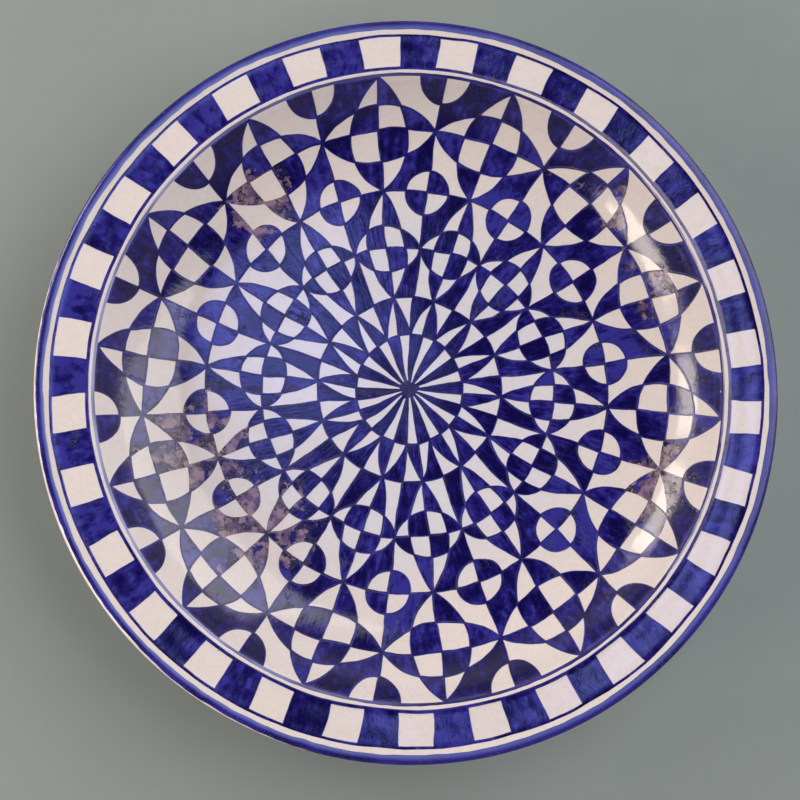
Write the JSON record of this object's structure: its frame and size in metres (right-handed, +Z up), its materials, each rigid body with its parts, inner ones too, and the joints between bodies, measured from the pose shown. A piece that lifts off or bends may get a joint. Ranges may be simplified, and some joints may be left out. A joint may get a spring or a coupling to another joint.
{
  "type": "serving dish",
  "caption": "Large round ceramic serving dish with a broad checked rim, a deep well painted in blue and white stars, and a foot ring.",
  "frame": {"origin": "centre of the foot ring, on the plane the dish stands on", "axes": "+Z up along the dish's axis, out of the well; +X and +Y in the plane of the rim, with the first star axis five degrees clockwise of +X seen from above"},
  "size_m": [0.35, 0.3494, 0.0531],
  "materials": {
    "clay": "bare fired clay, matt buff",
    "white_glaze": "glossy warm white glaze",
    "cobalt": "glossy deep cobalt blue, brushed",
    "pale_cobalt": "glossy thin cobalt blue"
  },
  "bodies": {
    "root": {"clay_body": "clay", "face_glaze": "white_glaze", "back_glaze": "white_glaze", "foot_well_glaze": "white_glaze", "lip_band": "cobalt", "border_check_band": "cobalt", "field_edge_line": "pale_cobalt", "outer_star_ring": "cobalt", "inner_star_ring": "cobalt", "petal_ring": "cobalt", "centre_star": "cobalt"}
  },
  "joints": []
}
